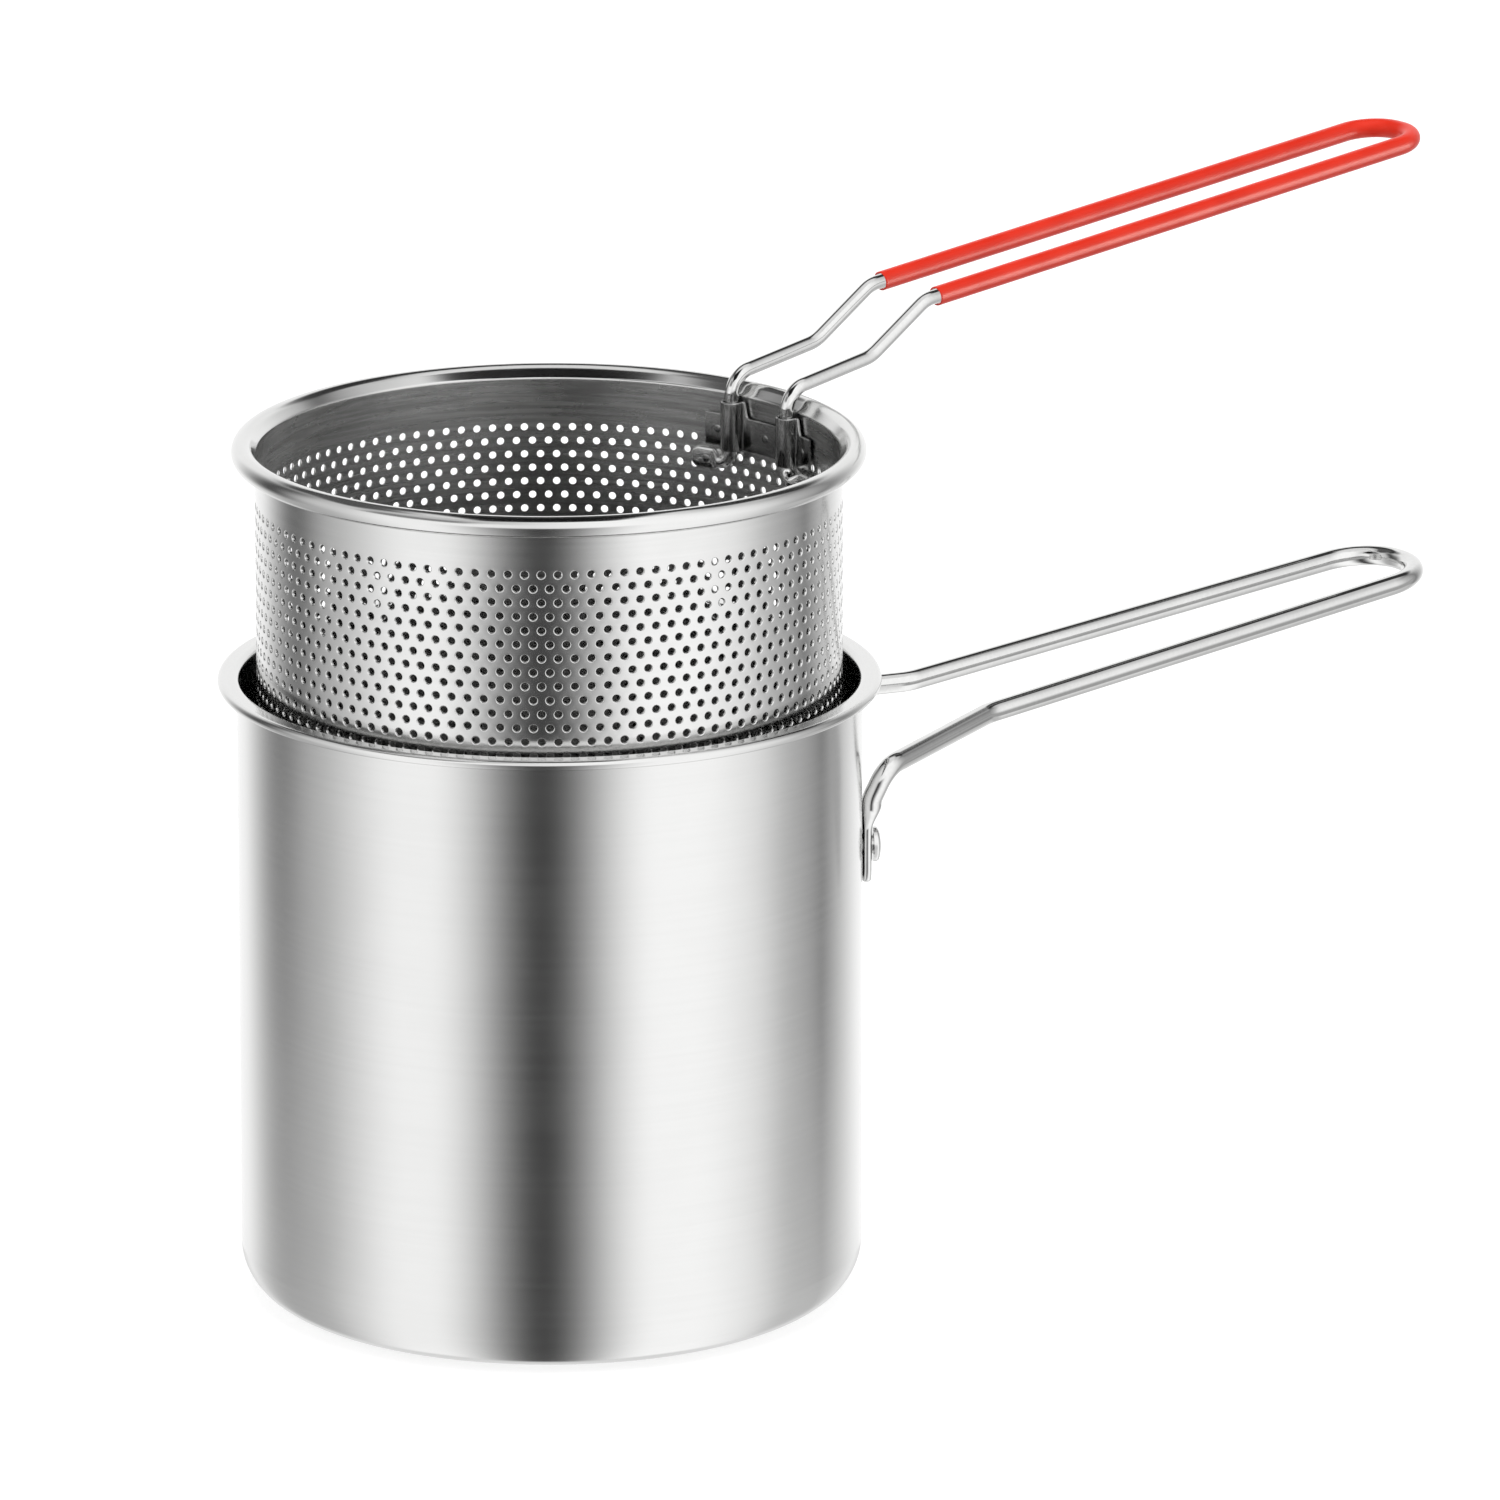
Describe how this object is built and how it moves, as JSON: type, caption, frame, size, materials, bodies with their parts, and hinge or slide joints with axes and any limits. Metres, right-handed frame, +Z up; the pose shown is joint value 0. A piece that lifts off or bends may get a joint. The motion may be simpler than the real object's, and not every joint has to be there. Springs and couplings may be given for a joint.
{
  "type": "deep fry pot with basket",
  "caption": "Tall round steel deep fry pot with a riveted wire handle, holding a lift-out perforated basket whose long wire handle has a soft grip sleeve.",
  "frame": {"origin": "centre of the pot's flat base, on the surface it stands on", "axes": "+Z up the pot's axis, +X from the pot's axis along its wire handle, +Y to the left of the handle seen from the pot"},
  "size_m": [0.286, 0.1274, 0.1967],
  "materials": {
    "pot_steel": "drawn stainless steel, satin outside with soft vertical reflections, darker inside",
    "basket_steel": "perforated stainless steel sheet, satin, with a polished rolled rim",
    "wire_steel": "polished round steel wire",
    "rim_wire_steel": "dull drawn wire, hidden in the rolled rim",
    "rivet_steel": "smooth low round heads",
    "bracket_steel": "pressed strip, satin, with small round spot welds",
    "grip_red": "soft vinyl sleeve, glossy orange red"
  },
  "bodies": {
    "pot": {"pot_shell": "pot_steel", "pot_handle_wire": "wire_steel", "pot_rivet_right": "rivet_steel", "pot_rivet_left": "rivet_steel"},
    "rim_ring": {"basket_rim_wire": "rim_wire_steel"},
    "basket": {"basket_wall": "basket_steel", "basket_base": "basket_steel", "basket_handle_wire": "wire_steel", "grip_sleeve": "grip_red", "handle_bracket": "bracket_steel"}
  },
  "joints": [
    {"name": "basket_lift", "type": "slide", "parent": "pot", "child": "rim_ring", "axis": [0, 0, 1], "range_m": [-0.0424, 0.08]},
    {"name": "basket_turn", "type": "hinge", "parent": "rim_ring", "child": "basket", "pos_m": [0, 0, 0.16701], "axis": [0, 0, 1], "continuous": true}
  ]
}
